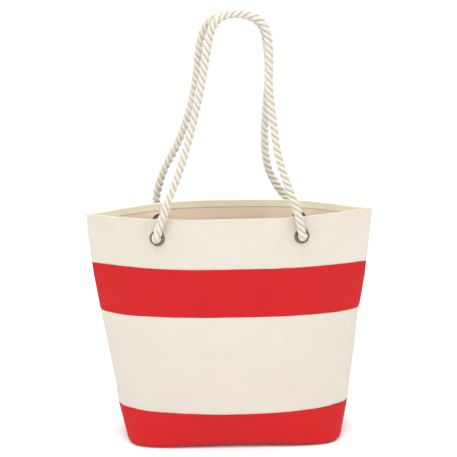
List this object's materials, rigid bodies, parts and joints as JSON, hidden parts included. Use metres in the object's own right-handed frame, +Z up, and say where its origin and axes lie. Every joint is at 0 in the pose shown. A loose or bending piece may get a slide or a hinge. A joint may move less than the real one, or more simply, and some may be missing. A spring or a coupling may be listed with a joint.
{
  "type": "rope-handled canvas beach bag",
  "caption": "Open-top canvas beach bag with a red stripe, a red boxed base, metal grommets and rope handles that fold down outside it.",
  "frame": {"origin": "under the middle of the base, on the surface that the bag stands on", "axes": "+Z up from the base to the handles, +X along the mouth to the viewer's right, +Y from the front panel to the back panel"},
  "size_m": [0.4612, 0.1532, 0.7058],
  "materials": {
    "natural_canvas": "matte",
    "red_canvas": "matte",
    "cotton_tape": "matte",
    "rope": "matte",
    "antique_nickel": "satin"
  },
  "bodies": {
    "bag": {"base_wrap": "red_canvas", "front_middle_band": "natural_canvas", "front_stripe": "red_canvas", "front_top_band": "natural_canvas", "back_middle_band": "natural_canvas", "back_stripe": "red_canvas", "back_top_band": "natural_canvas", "front_rim_tape": "cotton_tape", "back_rim_tape": "cotton_tape", "left_seam_tape": "cotton_tape", "right_seam_tape": "cotton_tape", "left_corner_tape": "cotton_tape", "right_corner_tape": "cotton_tape", "front_left_grommet": "antique_nickel", "front_right_grommet": "antique_nickel", "back_left_grommet": "antique_nickel", "back_right_grommet": "antique_nickel", "front_left_washer": "antique_nickel", "front_right_washer": "antique_nickel", "back_left_washer": "antique_nickel", "back_right_washer": "antique_nickel", "front_left_knot": "rope", "front_right_knot": "rope", "back_left_knot": "rope", "back_right_knot": "rope"},
    "front_handle": {"front_handle_rope": "rope"},
    "back_handle": {"back_handle_rope": "rope"}
  },
  "joints": [
    {"name": "front_handle_fold", "type": "hinge", "parent": "bag", "child": "front_handle", "pos_m": [0, -0.06031, 0.34878], "axis": [1, 0, 0], "range_deg": [0, 160]},
    {"name": "back_handle_fold", "type": "hinge", "parent": "bag", "child": "back_handle", "pos_m": [0, 0.06031, 0.34878], "axis": [-1, 0, 0], "range_deg": [0, 160]}
  ]
}
